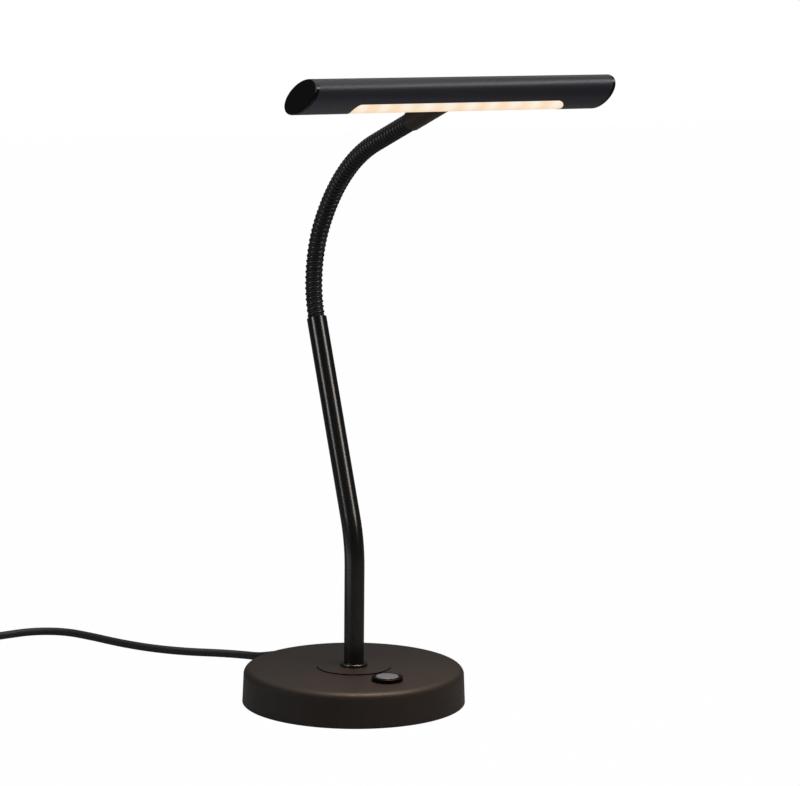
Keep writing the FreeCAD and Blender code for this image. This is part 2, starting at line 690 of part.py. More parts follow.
def slot_prism(gap, reach):
    """The slot's rounded outline, gap smaller all round, drawn outwards from the head's axis."""
    half_x = SLOT_LENGTH / 2 - gap
    half_w = HEAD_RADIUS * math.sin(math.radians(SLOT_HALF_ANGLE_DEG)) - gap
    r = SLOT_CORNER_RADIUS - gap
    diagonal = r * math.sqrt(0.5)
    edges, first, last = [], None, None
    corners = [(1, 1), (-1, 1), (-1, -1), (1, -1)]
    for sx, sw in corners:
        cx, cw = sx * (half_x - r), sw * (half_w - r)
        along_x, along_w = (cx + sx * r, cw), (cx, cw + sw * r)
        p, q = (along_x, along_w) if sx * sw > 0 else (along_w, along_x)
        p, m, q = [
            HEAD_MIDDLE + X_AXIS * u + SLOT_ACROSS * w
            for u, w in (p, (cx + sx * diagonal, cw + sw * diagonal), q)
        ]
        if last is not None:
            edges.append(Part.LineSegment(last, p).toShape())
        first = first or p
        edges.append(Part.Arc(p, m, q).toShape())
        last = q
    edges.append(Part.LineSegment(last, first).toShape())
    return Part.Face(Part.Wire(edges)).extrude(SLOT_OUT * reach)


def slot_sector(half_angle_deg, length):
    """A wedge of space along the head, open from its axis towards the slot."""
    far = HEAD_MIDDLE + SLOT_OUT * HEAD_DIAMETER - X_AXIS * (length / 2)
    side = SLOT_ACROSS * (HEAD_DIAMETER * math.tan(math.radians(half_angle_deg)))
    apex = HEAD_MIDDLE - X_AXIS * (length / 2)
    return Part.Face(Part.makePolygon([apex, far + side, far - side, apex])).extrude(X_AXIS * length)


def head_tube():
    tube = head_rod(HEAD_RADIUS, REACH).cut(head_rod(HEAD_BORE, REACH))
    for side in (-1, 1):
        tube = tube.cut(beyond_end(side, CAP_THICKNESS))
    tube = tube.cut(slot_prism(0, HEAD_DIAMETER))
    hole = rod(SPIGOT_RADIUS + SLIP, HEAD_CENTRE, SLEEVE_DIRECTION * -1, HEAD_DIAMETER)
    return tube.cut(hole)


def head_cap(side):
    """An end cap: a slanted disc as wide as the tube, on a ring that plugs into the tube."""
    cap = head_rod(HEAD_RADIUS, REACH).cut(beyond_end(side, 0)).common(beyond_end(side, CAP_THICKNESS))
    rims = [e for e in cap.Edges if e.BoundBox.YLength > HEAD_RADIUS]
    outer = max(rims, key=lambda e: side * e.CenterOfMass.x)
    cap = cap.makeFillet(CAP_EDGE_RADIUS, [outer])
    plug = head_rod(HEAD_BORE - SLIP, REACH).cut(head_rod(HEAD_BORE - CAP_PLUG_WALL, REACH))
    plug = plug.cut(beyond_end(side, CAP_THICKNESS))
    plug = plug.common(beyond_end(side, CAP_THICKNESS + CAP_PLUG_LENGTH))
    return cap.fuse(plug)


def diffuser():
    """The opal strip: a curved band inside the tube, with a raised land that fills the slot."""
    length = SLOT_LENGTH + 2 * DIFFUSER_RIM
    outer = HEAD_BORE - SLIP
    land = head_rod(HEAD_RADIUS - DIFFUSER_RECESS, length).common(slot_prism(CLEAR, HEAD_DIAMETER))
    strip = head_rod(outer, length).fuse(land).common(slot_sector(DIFFUSER_HALF_ANGLE_DEG, length))
    return strip.removeSplitter().cut(head_rod(outer - DIFFUSER_WALL, length))


def heat_sink():
    """The bar under the board: a slice of the tube's bore, flat where the board lies."""
    bar = head_rod(HEAD_BORE - SLIP, SINK_LENGTH)
    bar = bar.common(head_block(HEAD_DIAMETER, SINK_OFFSET, HEAD_DIAMETER, SINK_LENGTH))
    return cut_all(bar, board_screw_rods(BOARD_SCREW_RADIUS + SLIP))


def board_screw_rods(radius):
    length = BOARD_SCREW_LENGTH + SEAT
    for x in BOARD_SCREW_PLACES:
        start = HEAD_MIDDLE + X_AXIS * x - SLOT_OUT * BOARD_FACE
        yield rod(radius, start, SLOT_OUT * -1, length)


def led_board():
    board = head_block(BOARD_WIDTH, BOARD_FACE, SINK_OFFSET, BOARD_LENGTH)
    return cut_all(board, board_screw_rods(BOARD_SCREW_RADIUS + SLIP))


def led_chip(index):
    width, across, height = CHIP_SIZE
    offset = (index - (CHIP_COUNT - 1) / 2) * CHIP_PITCH
    return head_block(across, BOARD_FACE - height, BOARD_FACE, width, offset)


def board_screw(x):
    seat = HEAD_MIDDLE + X_AXIS * x - SLOT_OUT * BOARD_FACE
    head = rod(BOARD_SCREW_HEAD_RADIUS, seat, SLOT_OUT, BOARD_SCREW_HEAD_HEIGHT)
    return head.fuse(rod(BOARD_SCREW_RADIUS, seat, SLOT_OUT * -1, BOARD_SCREW_LENGTH))


def neck_sleeve():
    """The smooth sleeve on the neck's upper end, shaped to the head tube and screwed into it."""
    mouth = at(NECK_END)[0]
    sleeve = rod(SLEEVE_RADIUS, mouth, SLEEVE_DIRECTION, SLEEVE_LENGTH)
    sleeve = sleeve.cut(head_rod(HEAD_RADIUS + SLIP, HEAD_LENGTH))
    flat = LOCK_NUT_FLATS / 2
    nut_seat = math.sqrt(HEAD_BORE**2 - flat**2)
    spigot_length = SLEEVE_LENGTH - nut_seat + LOCK_NUT_HEIGHT + SEAT
    sleeve = sleeve.fuse(rod(SPIGOT_RADIUS, mouth, SLEEVE_DIRECTION, spigot_length))
    sleeve = sleeve.cut(rod(SPIGOT_BORE, mouth, SLEEVE_DIRECTION, SLEEVE_LENGTH))
    sleeve = sleeve.cut(rod(CORE_RADIUS + SLIP, mouth, SLEEVE_DIRECTION, SLEEVE_SEAT))
    return sleeve.cut(grub_rod(GRUB_RADIUS + SLIP / 2, SLEEVE_RADIUS + 1))


def grub_rod(radius, top):
    """The line of the grub screw: across the sleeve's wall, from below."""
    down = Rotation(SLEEVE_DIRECTION, GRUB_TURN_DEG).multVec(SLEEVE_DIRECTION.cross(X_AXIS))
    start = at(NECK_END + GRUB_FROM_MOUTH)[0]
    if down.z > 0:
        down = down * -1
    tip = CORE_RADIUS + SLIP
    return rod(radius, start + down * tip, down, top - tip)


def head_lock_nut():
    flat = LOCK_NUT_FLATS / 2
    seat = HEAD_CENTRE - SLEEVE_DIRECTION * (math.sqrt(HEAD_BORE**2 - flat**2) - SEAT)
    nut = hexagon(LOCK_NUT_FLATS, seat, SLEEVE_DIRECTION, LOCK_NUT_HEIGHT, SLEEVE_DIRECTION.cross(X_AXIS))
    return nut.cut(rod(SPIGOT_RADIUS + SLIP, seat, SLEEVE_DIRECTION, LOCK_NUT_HEIGHT))


def head_lead():
    """The LED lead from the neck's last hinge, through the sleeve and round to the board."""
    bend_radius = 2 * LEAD_RADIUS
    side = SLEEVE_DIRECTION.cross(X_AXIS)
    if side.dot(SLOT_OUT) > 0:
        side = side * -1
    turn = HEAD_CENTRE - SLEEVE_DIRECTION * bend_radius
    end = HEAD_CENTRE + side * bend_radius
    chord = bend_radius * math.sqrt(0.5)
    middle = HEAD_CENTRE - SLEEVE_DIRECTION * (bend_radius - chord) + side * (bend_radius - chord)
    low = HINGES[-1] + LEAD_HINGE_GAP / 2
    edges = line_wire(low, NECK_END).OrderedEdges
    edges.append(Part.LineSegment(at(NECK_END)[0], turn).toShape())
    edges.append(Part.Arc(turn, middle, end).toShape())
    edges.append(Part.LineSegment(end, HEAD_CENTRE + side * (BOARD_FACE - SEAT)).toShape())
    return tube_along(Part.Wire(edges), LEAD_RADIUS)


# ---------------------------------------------------------------- switch


def switch_bezel():
    """The bezel with its threaded barrel, which the button slides in."""
    bezel = disc(BEZEL_DIAMETER / 2, BASE_HEIGHT, BEZEL_TOP, SWITCH_AT)
    bezel = bezel.makeChamfer(BEZEL_EDGE, edges_at_height(bezel, BEZEL_TOP))
    bezel = bezel.fuse(disc(BARREL_RADIUS, BARREL_BOTTOM, BASE_HEIGHT, SWITCH_AT)).removeSplitter()
    bezel = bezel.cut(disc(BUTTON_BORE, BARREL_FLOOR_TOP, BEZEL_TOP + 1, SWITCH_AT))
    return bezel.cut(disc(BUTTON_SHAFT_RADIUS + CLEAR, BARREL_BOTTOM - 1, BEZEL_TOP, SWITCH_AT))


def switch_button():
    cap = disc(BUTTON_RADIUS, BUTTON_CAP_BOTTOM, BUTTON_TOP, SWITCH_AT)
    cap = cap.makeFillet(BUTTON_EDGE_RADIUS, edges_at_height(cap, BUTTON_TOP))
    shaft_bottom = BUTTON_CAP_BOTTOM - BUTTON_SHAFT_LENGTH
    return cap.fuse(disc(BUTTON_SHAFT_RADIUS, shaft_bottom, BUTTON_CAP_BOTTOM, SWITCH_AT)).removeSplitter()


def switch_body():
    return disc(BARREL_RADIUS, SWITCH_CAN_BOTTOM, BARREL_BOTTOM, SWITCH_AT)


def switch_nut():
    low = ROOF - SWITCH_NUT_HEIGHT
    nut = hexagon(SWITCH_NUT_FLATS, SWITCH_AT + Vector(0, 0, low), Z_AXIS, SWITCH_NUT_HEIGHT)
    return nut.cut(disc(BARREL_RADIUS + SLIP / 2, low, ROOF, SWITCH_AT))


def spring_turns():
    """The turns of the button's return spring, between the barrel's floor and the button's cap."""
    low = BARREL_FLOOR_TOP + SPRING_WIRE_RADIUS + SEAT
    high = BUTTON_CAP_BOTTOM - SPRING_WIRE_RADIUS - SEAT
    for turn in range(SPRING_TURNS):
        z = low + (high - low) * turn / (SPRING_TURNS - 1)
        yield Part.makeTorus(SPRING_RADIUS, SPRING_WIRE_RADIUS, SWITCH_AT + Z_AXIS * z)


# ---------------------------------------------------------------- electrics in the base


def unit_box(centre_x, centre_y, size):
    low = (centre_x - size[0] / 2, centre_y - size[1] / 2, PLATE_TOP + SEAT)
    high = (centre_x + size[0] / 2, centre_y + size[1] / 2, PLATE_TOP + SEAT + size[2])
    unit = box(low, high)
    return unit.makeChamfer(UNIT_EDGE, upright_edges(unit, size[2]))


def flat_wires(points):
    """The wires of a pair, one above the other, through points seen from above."""
    for z in WIRE_HEIGHTS:
        wire = rounded_route([(x, y, z) for x, y in points], WIRE_BEND_SHARE)[0]
        yield tube_along(wire, WIRE_RADIUS)


# ---------------------------------------------------------------- cord

BUSHING_TIP = shell_radius(CORD_HEIGHT - BUSHING_RADIUS) + SEAT + BUSHING_LENGTH
CORD_MOVE = Vector(0, BUSHING_TIP - CORD_ROUTE[0][1], 0)  # the whole cord moves with its bushing


def cord_bushing():
    """The bushing in the shell's rear wall: a flange inside, a groove, and a tapering sleeve."""
    start = Vector(0, 0, CORD_HEIGHT)
    inside = wall_inside(CORD_HEIGHT + BUSHING_FLANGE_RADIUS, BUSHING_FLANGE_RADIUS) - SEAT
    shoulder = BUSHING_TIP - BUSHING_LENGTH
    flange = rod(BUSHING_FLANGE_RADIUS, start + Y_AXIS * (inside - BUSHING_FLANGE), Y_AXIS, BUSHING_FLANGE)
    neck = rod(BUSHING_NECK_RADIUS, start + Y_AXIS * inside, Y_AXIS, shoulder - inside)
    sleeve = Part.makeCone(
        BUSHING_RADIUS, BUSHING_TIP_RADIUS, BUSHING_LENGTH, start + Y_AXIS * shoulder, Y_AXIS
    )
    bushing = flange.fuse(neck).fuse(sleeve)
    return bushing.cut(rod(CORD_RADIUS + SLIP, start, Y_AXIS, BUSHING_TIP + 1))


def cord_tail():
    """The cord's end inside the base, from the bushing's tip to the terminal block."""
    block = TERMINAL_CENTRE_Y + TERMINAL_BOX[1] / 2
    return rod(CORD_RADIUS, Vector(0, block, CORD_HEIGHT), Y_AXIS, BUSHING_TIP - block)


def clamp_screw_places():
    for side in (-1, 1):
        yield Vector(side * CLAMP_SCREW_SPACING / 2, CLAMP_Y, 0)


def cord_clamp():
    """A bridge across the channel, with a foot that presses on the cord."""
    width, depth, thick = CLAMP_SIZE
    low, top = WEIGHT_TOP, WEIGHT_TOP + thick
    bar = box((-width / 2, CLAMP_Y - depth / 2, low), (width / 2, CLAMP_Y + depth / 2, top))
    half = CORD_CHANNEL_WIDTH / 2 - CLEAR
    foot_low = CORD_HEIGHT + CORD_RADIUS + SEAT
    foot = box((-half, CLAMP_Y - depth / 2, foot_low), (half, CLAMP_Y + depth / 2, low))
    holes = [disc(CLAMP_SCREW_RADIUS + SLIP, low, top, p) for p in clamp_screw_places()]
    return cut_all(bar.fuse(foot).removeSplitter(), holes)


def clamp_screw(place):
    seat = WEIGHT_TOP + CLAMP_SIZE[2]
    head = disc(CLAMP_SCREW_HEAD_RADIUS, seat, seat + CLAMP_SCREW_HEAD_HEIGHT, place)
    return head.fuse(disc(CLAMP_SCREW_RADIUS, seat - CLAMP_SCREW_LENGTH, seat, place)).removeSplitter()


def cord_run(name, points):
    """A free stretch of the cord, with its volume set against its section times its length."""
    wire, radii = rounded_route(points)
    wire.translate(CORD_MOVE)
    tube = tube_along(wire, CORD_RADIUS)
    expected = math.pi * CORD_RADIUS**2 * wire.Length
    smallest = min(radii)
    print(f"{name}: {wire.Length:.1f} mm, radii {[round(r) for r in radii]}, smallest {smallest:.1f}")
    print(f"{name}: volume {tube.Volume:.1f}, section times length {expected:.1f}, valid {tube.isValid()}")
    return tube


def cord_coil():
    """The outer shape of the wound cord: a ring as wide and as high as its turns."""
    centre = Vector(*COIL_CENTRE, 0) + CORD_MOVE
    outer = max(COIL_TURN_RADII) + CORD_RADIUS
    inner = min(COIL_TURN_RADII) - CORD_RADIUS
    return ring(outer, inner, 0, COIL_LAYERS * CORD_DIAMETER, centre)


def plug_face():
    """The middle of the plug body's end where the cord comes in."""
    return Vector(*PLUG_RUN[-1]) + CORD_MOVE - Y_AXIS * PLUG_RELIEF_LENGTH


def plug_body():
    width, length, thick = PLUG_SIZE
    face = plug_face()
    body = Part.makeBox(width, length, thick, face + Vector(-width / 2, -length, -thick / 2))
    body = body.makeFillet(PLUG_CORNER_RADIUS, upright_edges(body, thick))
    body = body.makeFillet(PLUG_EDGE_RADIUS, [e for e in body.Edges if e.BoundBox.ZLength < 1e-6])
    relief = Part.makeCone(PLUG_RELIEF_RADIUS, PLUG_RELIEF_TIP_RADIUS, PLUG_RELIEF_LENGTH, face, Y_AXIS)
    return body.fuse(relief)


def plug_pin(side):
    start = plug_face() + Vector(side * PLUG_PIN_SPACING / 2, -PLUG_SIZE[1], 0)
    pin = rod(PLUG_PIN_RADIUS, start, FRONT, PLUG_PIN_LENGTH)
    tip = [e for e in pin.Edges if abs(e.CenterOfMass.y - (start.y - PLUG_PIN_LENGTH)) < 1e-4]
    return pin.makeFillet(PLUG_PIN_EDGE, tip)


# ---------------------------------------------------------------- the sub-parts


def build():
    os.makedirs("parts", exist_ok=True)
    save("base_shell", base_shell())
    save("base_weight", base_weight())
    save("base_plate", base_plate())
    save("base_foot_pad", base_pad())
    save("base_plate_screws", *[plate_screw(place) for place in screw_places()])
    save("stem_flange", stem_flange())
    save("stem_collar", stem_collar())
    save("stem_tube", stem_tube())
    save("stem_nipple", stem_nipple())
    save("stem_washer", stem_washer())
    save("stem_nut", stem_nut())
    save("stem_lead", stem_lead())
    save("neck_ferrule", neck_ferrule())
    for index in range(len(HINGES) + 1):
        save(f"neck_coil_{index}", neck_coil(index))
    for index in range(1, len(HINGES)):
        save(f"neck_lead_{index}", neck_lead(index))
    save("neck_sleeve", neck_sleeve())
    save("sleeve_grub_screw", grub_rod(GRUB_RADIUS, SLEEVE_RADIUS - CLEAR))
    save("head_lock_nut", head_lock_nut())
    save("head_tube", head_tube())
    save("head_cap_left", head_cap(-1))
    save("head_cap_right", head_cap(1))
    save("head_lead", head_lead())
    save("diffuser", diffuser())
    save("led_heat_sink", heat_sink())
    save("led_board", led_board())
    save("led_chips", *[led_chip(index) for index in range(CHIP_COUNT)])
    save("led_board_screws", *[board_screw(x) for x in BOARD_SCREW_PLACES])
    save("switch_bezel", switch_bezel())
    save("switch_button", switch_button())
    save("switch_body", switch_body())
    save("switch_nut", switch_nut())
    save("switch_spring", *spring_turns())
    save("switch_wires", *flat_wires(switch_wire_points()))
    save("driver_unit", unit_box(DRIVER_CENTRE_X, 0, DRIVER_BOX))
    save("driver_wires", *flat_wires(driver_wire_points()))
    save("terminal_block", unit_box(0, TERMINAL_CENTRE_Y, TERMINAL_BOX))
    save("cord_bushing", cord_bushing())
    save("cord_clamp", cord_clamp())
    save("cord_clamp_screws", *[clamp_screw(place) for place in clamp_screw_places()])
    save("cord_tail", cord_tail())
    save("cord_tube", cord_run("cord_tube", CORD_ROUTE))
    save("cord_coil", cord_coil())
    save("cord_plug_run", cord_run("cord_plug_run", PLUG_RUN))
    save("plug_body", plug_body())
    save("plug_pins", plug_pin(-1), plug_pin(1))


build()
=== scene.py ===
"""Finishes for the piano lamp: paint, wound neck, lit diffuser, cord with its plug, and a studio stage.

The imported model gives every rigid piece. This file adds what is better made by hand, and gives each
surface its material. All lengths are metres, +Z is up and the front is -Y.
"""

import json
import math

import bpy
from mathutils import Euler, Matrix, Vector


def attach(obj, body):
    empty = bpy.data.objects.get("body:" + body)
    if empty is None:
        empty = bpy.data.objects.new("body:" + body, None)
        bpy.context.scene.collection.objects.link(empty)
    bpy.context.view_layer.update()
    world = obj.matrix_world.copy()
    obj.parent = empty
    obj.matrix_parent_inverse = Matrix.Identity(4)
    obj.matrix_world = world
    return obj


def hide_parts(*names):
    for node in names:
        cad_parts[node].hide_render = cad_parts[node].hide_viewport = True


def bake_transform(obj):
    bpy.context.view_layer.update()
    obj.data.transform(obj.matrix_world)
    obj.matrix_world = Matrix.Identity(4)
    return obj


bl_info = {
    "name": "Piano lamp",
    "version": (1, 0, 0),
    "blender": (4, 5, 0),
    "location": "View3D > Sidebar > Piano lamp",
    "description": "Builds the finishes, the wound neck, the cord and the stage of a piano lamp",
    "category": "Object",
}

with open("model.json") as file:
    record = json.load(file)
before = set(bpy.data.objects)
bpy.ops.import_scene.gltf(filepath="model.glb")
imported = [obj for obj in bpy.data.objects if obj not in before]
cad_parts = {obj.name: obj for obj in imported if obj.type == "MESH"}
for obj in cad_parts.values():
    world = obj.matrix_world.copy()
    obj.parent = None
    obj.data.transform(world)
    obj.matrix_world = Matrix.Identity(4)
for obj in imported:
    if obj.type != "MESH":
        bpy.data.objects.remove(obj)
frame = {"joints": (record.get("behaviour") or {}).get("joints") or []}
JOINTS = {joint["name"]: joint for joint in frame["joints"]}
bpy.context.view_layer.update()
MM = 0.001
CHIP_PITCH = 16.7 * MM
HEAD_SHIFT = -1.3 * MM


def paint(red, green, blue):
    """A linear colour from the 0 to 255 numbers that a screen shows."""
    shown = [value / 255 for value in (red, green, blue)]
    return tuple(v / 12.92 if v <= 0.04045 else ((v + 0.055) / 1.055) ** 2.4 for v in shown)


def length(label, text, default):
    return bpy.props.FloatProperty(name=label, description=text, default=default, unit="LENGTH")


def colour(label, text, default):
    return bpy.props.FloatVectorProperty(
        name=label, description=text, default=default, subtype="COLOR", size=3, min=0, max=1
    )


# ---------------------------------------------------------------- what a user may change


class PIANO_LAMP_PG_sizes(bpy.types.PropertyGroup):
    """The sizes of the hand-made pieces."""

    neck_length: length("Neck length", "Length of the wound neck along its line", 222.0 * MM)
    neck_diameter: length("Neck diameter", "Outside diameter of the wound neck", 12.8 * MM)
    wire_diameter: length("Wire diameter", "Diameter of the round wire of the neck", 2.5 * MM)
    neck_turns: bpy.props.IntProperty(
        name="Neck turns", description="Turns of wire in the neck", default=57, min=8
    )
    filler_diameter: length("Filler wire", "Diameter of the wire between the turns", 2.2 * MM)
    filler_depth: length("Filler depth", "How far the filler wire lies under the turns", 0.5 * MM)
    cord_length: length("Cord length", "Whole length of the mains cord", 1800 * MM)
    cord_diameter: length("Cord diameter", "Diameter of the round mains cord", 6 * MM)


class PIANO_LAMP_PG_finishes(bpy.types.PropertyGroup):
    """The colours and the lamp's glow."""

    bronze: colour("Base paint", "Satin dark bronze of the base and its flange", paint(47, 44, 43))
    black: colour("Stem paint", "Satin black of the stem and the collar", paint(11, 11, 11))
    neck_black: colour("Neck coating", "Black coating of the wound wire", paint(17, 17, 17))
    # Painted shade: the colour of the filler wire and the core, which sit in the grooves between the turns.
    neck_gap_shade: colour("Neck gaps, painted shade", "Painted shade in the grooves between the turns", paint(8, 8, 8))
    # The sleeve's warmth is painted light: the diffuser's warm glow, which the glow lamp does not reach.
    sleeve_glow_tinted_black: colour("Sleeve coating", "Black of the smooth sleeve, warmed with painted lamp glow", paint(44, 30, 18))
    head_black: colour("Head finish", "Matte black of the head tube", paint(52, 52, 61))
    gloss_black: colour("Gloss black", "Moulded gloss black of the end caps", paint(14, 14, 14))
    # The button's colour is partly its own bluish grey and partly a painted reflection of the pale room,
    # which makes it lighter.
    button_painted_reflection_grey: colour("Button", "Satin face of the push button, lightened with painted reflection", paint(117, 126, 145))
    opal: colour("Opal", "Opal plastic of the diffuser", paint(160, 152, 142))
    glow: colour("Glow over a chip", "Warm white of the diffuser over each chip", paint(255, 246, 231))
    glow_between: colour("Glow between", "Colour of the diffuser between chips", paint(255, 226, 196))
    glow_edge: colour("Glow at the edge", "Colour where the diffuser curves away", paint(238, 200, 150))
    jacket: colour("Cord jacket", "Black jacket of the cord and the plug", paint(66, 66, 70))


def sizes():
    return bpy.context.scene.piano_lamp_sizes


def finishes():
    return bpy.context.scene.piano_lamp_finishes


# ---------------------------------------------------------------- materials


def socket(group, name, direction, default=None):
    made = group.interface.new_socket(name=name, in_out=direction, socket_type="NodeSocketFloat")
    if default is not None:
        made.default_value = default
    return made


def new_group(name):
    group = bpy.data.node_groups.new(name, "ShaderNodeTree")
    return group, group.nodes.new("NodeGroupInput"), group.nodes.new("NodeGroupOutput")


def noise(tree, coordinates, scale, detail=3.0, rough=0.5):
    """A noise texture on the given coordinates. The scale is a number or another node's output."""
    node = tree.nodes.new("ShaderNodeTexNoise")
    tree.links.new(coordinates, node.inputs["Vector"])
    if isinstance(scale, (int, float)):
        node.inputs["Scale"].default_value = scale
    else:
        tree.links.new(scale, node.inputs["Scale"])
    node.inputs["Detail"].default_value = detail
    node.inputs["Roughness"].default_value = rough
    return node.outputs["Fac"]


def math_node(tree, operation, first, second, clamp=False):
    """One sum on two values, each a number or another node's output."""
    node = tree.nodes.new("ShaderNodeMath")
    node.operation = operation
    node.use_clamp = clamp
    for index, value in enumerate((first, second)):
        if isinstance(value, (int, float)):
            node.inputs[index].default_value = value
        else:
            tree.links.new(value, node.inputs[index])
    return node.outputs[0]


def grain_group():
    """Surface grain: fine texture for the bump, and roughness that wanders a little."""
    name = "Surface grain"
    if name in bpy.data.node_groups:
        return bpy.data.node_groups[name]
    group, inputs, outputs = new_group(name)
    socket(group, "Grain scale", "INPUT", default=4000.0)
    socket(group, "Patch scale", "INPUT", default=40.0)
    socket(group, "Roughness", "INPUT", default=0.4)
    socket(group, "Wander", "INPUT", default=0.06)
    socket(group, "Height", "OUTPUT")
    socket(group, "Roughness", "OUTPUT")
    socket(group, "Patch", "OUTPUT")
    place = group.nodes.new("ShaderNodeTexCoord").outputs["Object"]
    grain = noise(group, place, inputs.outputs["Grain scale"], 4.0, 0.6)
    patch = noise(group, place, inputs.outputs["Patch scale"], 3.0, 0.55)
    swing = math_node(group, "MULTIPLY", math_node(group, "SUBTRACT", patch, 0.5), 2.0)
    swing = math_node(group, "MULTIPLY", swing, inputs.outputs["Wander"])
    rough = math_node(group, "ADD", inputs.outputs["Roughness"], swing, clamp=True)
    group.links.new(grain, outputs.inputs["Height"])
    group.links.new(rough, outputs.inputs["Roughness"])
    group.links.new(patch, outputs.inputs["Patch"])
    return group


def dust_group():
    """Settled dust: a thin film on what faces up, broken into specks."""
    name = "Settled dust"
    if name in bpy.data.node_groups:
        return bpy.data.node_groups[name]
    group, inputs, outputs = new_group(name)
    socket(group, "Amount", "INPUT", default=0.1)
    socket(group, "Speck scale", "INPUT", default=900.0)
    socket(group, "Mask", "OUTPUT")
    place = group.nodes.new("ShaderNodeTexCoord").outputs["Object"]
    normal = group.nodes.new("ShaderNodeNewGeometry").outputs["Normal"]
    split = group.nodes.new("ShaderNodeSeparateXYZ")
    group.links.new(normal, split.inputs[0])
    upward = math_node(group, "MAXIMUM", split.outputs["Z"], 0.0)
    specks = noise(group, place, inputs.outputs["Speck scale"], 2.0, 0.7)
    specks = math_node(group, "MULTIPLY", math_node(group, "SUBTRACT", specks, 0.45), 3.0, clamp=True)
    film = noise(group, place, 25.0, 2.0, 0.5)
    mask = math_node(group, "MULTIPLY", math_node(group, "ADD", specks, film), upward)
    mask = math_node(group, "MULTIPLY", mask, inputs.outputs["Amount"], clamp=True)
    group.links.new(mask, outputs.inputs["Mask"])
    return group


def finish(
    name, colour_value, roughness, grain=4000.0, depth=0.15, wander=0.05, dust=0.0, tone=0.08, **plain
):
    """A material of one finish. The plain values go straight on the shader's sockets."""
    material = bpy.data.materials.new(name)
    material.use_nodes = True
    tree = material.node_tree
    shader = tree.nodes["Principled BSDF"]
    texture = tree.nodes.new("ShaderNodeGroup")
    texture.node_tree = grain_group()
    texture.inputs["Grain scale"].default_value = grain
    texture.inputs["Roughness"].default_value = roughness
    texture.inputs["Wander"].default_value = wander
    tree.links.new(texture.outputs["Roughness"], shader.inputs["Roughness"])
    bump = tree.nodes.new("ShaderNodeBump")
    bump.inputs["Strength"].default_value = depth
    bump.inputs["Distance"].default_value = 0.0002
    tree.links.new(texture.outputs["Height"], bump.inputs["Height"])
    tree.links.new(bump.outputs["Normal"], shader.inputs["Normal"])
    shade = tree.nodes.new("ShaderNodeMix")
    shade.data_type = "RGBA"
    shade.inputs[6].default_value = (*[v * (1 - tone) for v in colour_value], 1)
    shade.inputs[7].default_value = (*[min(1.0, v * (1 + tone)) for v in colour_value], 1)
    tree.links.new(texture.outputs["Patch"], shade.inputs[0])
    result = shade.outputs[2]
    if dust > 0:
        film = tree.nodes.new("ShaderNodeGroup")
        film.node_tree = dust_group()
        film.inputs["Amount"].default_value = dust
        dusty = tree.nodes.new("ShaderNodeMix")
        dusty.data_type = "RGBA"
        dusty.inputs[7].default_value = (*paint(150, 145, 138), 1)
        tree.links.new(film.outputs["Mask"], dusty.inputs[0])
        tree.links.new(result, dusty.inputs[6])
        result = dusty.outputs[2]
    tree.links.new(result, shader.inputs["Base Color"])
    for label, value in plain.items():
        shader.inputs[label.replace("_", " ")].default_value = value
    return material


def wear(material, *names):
    """Puts a material on CAD nodes or new pieces."""
    for name in names:
        piece = bpy.data.objects[name]
        piece.data.materials.clear()
        piece.data.materials.append(material)


# ---------------------------------------------------------------- the lamp's line


CORE_SLICES = 114
STEPS_PER_TURN = 28
HINGE_TURNS = (6, 13, 20, 27, 34, 41, 48)
# radius, and slope from upright at the start and at the end, in degrees
NECK_BENDS = ((71.0 * MM, -20.1, 0.0), (88.0 * MM, 0.0, 30.0), (140.6 * MM, 30.0, 70.0))


def slope_step(point, slope, radius, end_slope):
    """The end of a bend that starts at a point with a slope from upright, in degrees."""
    a, b = math.radians(slope), math.radians(end_slope)
    sign = 1.0 if b > a else -1.0
    return Vector((0, point.y + sign * radius * (math.cos(b) - math.cos(a)),
                   point.z + sign * radius * (math.sin(b) - math.sin(a))))


def heading(slope):
    return Vector((0, -math.sin(math.radians(slope)), math.cos(math.radians(slope))))


def neck_knots():
    """The ends of the neck's bends: point, slope and the length of the bend that follows."""
    knots = []
    point = Vector((0, 0, 0))
    passed = 0.0
    for radius, slope, end_slope in NECK_BENDS:
        arc = radius * math.radians(abs(end_slope - slope))
        knots.append((point.copy(), slope, arc))
        point = slope_step(point, slope, radius, end_slope)
        passed += arc
    rest = sizes().neck_length - passed
    knots.append((point.copy(), NECK_BENDS[-1][2], rest))
    knots.append((point + heading(NECK_BENDS[-1][2]) * rest, NECK_BENDS[-1][2], 0.0))
    return knots


def line_point(distance):
    """The point of the neck's line at a distance from its foot, and its slope, foot at the origin."""
    knots = neck_knots()
    for (point, slope, arc), bend in zip(knots, NECK_BENDS):
        if distance <= arc:
            radius = bend[0]
            turned = slope + math.degrees(distance / radius) * (1 if bend[2] > bend[1] else -1)
            return slope_step(point, slope, radius, turned), turned
        distance -= arc
    point, slope, rest = knots[-2]
    return point + heading(slope) * distance, slope


def neck_origin():
    """The foot of the neck in the lamp's frame, found from its first hinge."""
    pitch = sizes().neck_length / sizes().neck_turns
    hinge = Vector(JOINTS["neck_bend_1"]["pos_m"])
    return hinge - line_point(HINGE_TURNS[0] * pitch)[0]


# ---------------------------------------------------------------- modelling helpers


def only(piece):
    """Leaves one piece selected and active."""
    bpy.ops.object.select_all(action="DESELECT")
    piece.select_set(True)
    bpy.context.view_layer.objects.active = piece


def named(name):
    """The piece that was just added, under its own name."""
    piece = bpy.context.active_object
    piece.name = name
    piece.data.name = name
    return piece


def settle(piece):
    """Puts a finished piece's place in its mesh."""
    only(piece)
    bpy.ops.object.transform_apply(location=True, rotation=True, scale=True)
    return piece


def apply_all(piece):
    only(piece)
    for modifier in list(piece.modifiers):
        bpy.ops.object.modifier_apply(modifier=modifier.name)
    return piece


# ---------------------------------------------------------------- operators


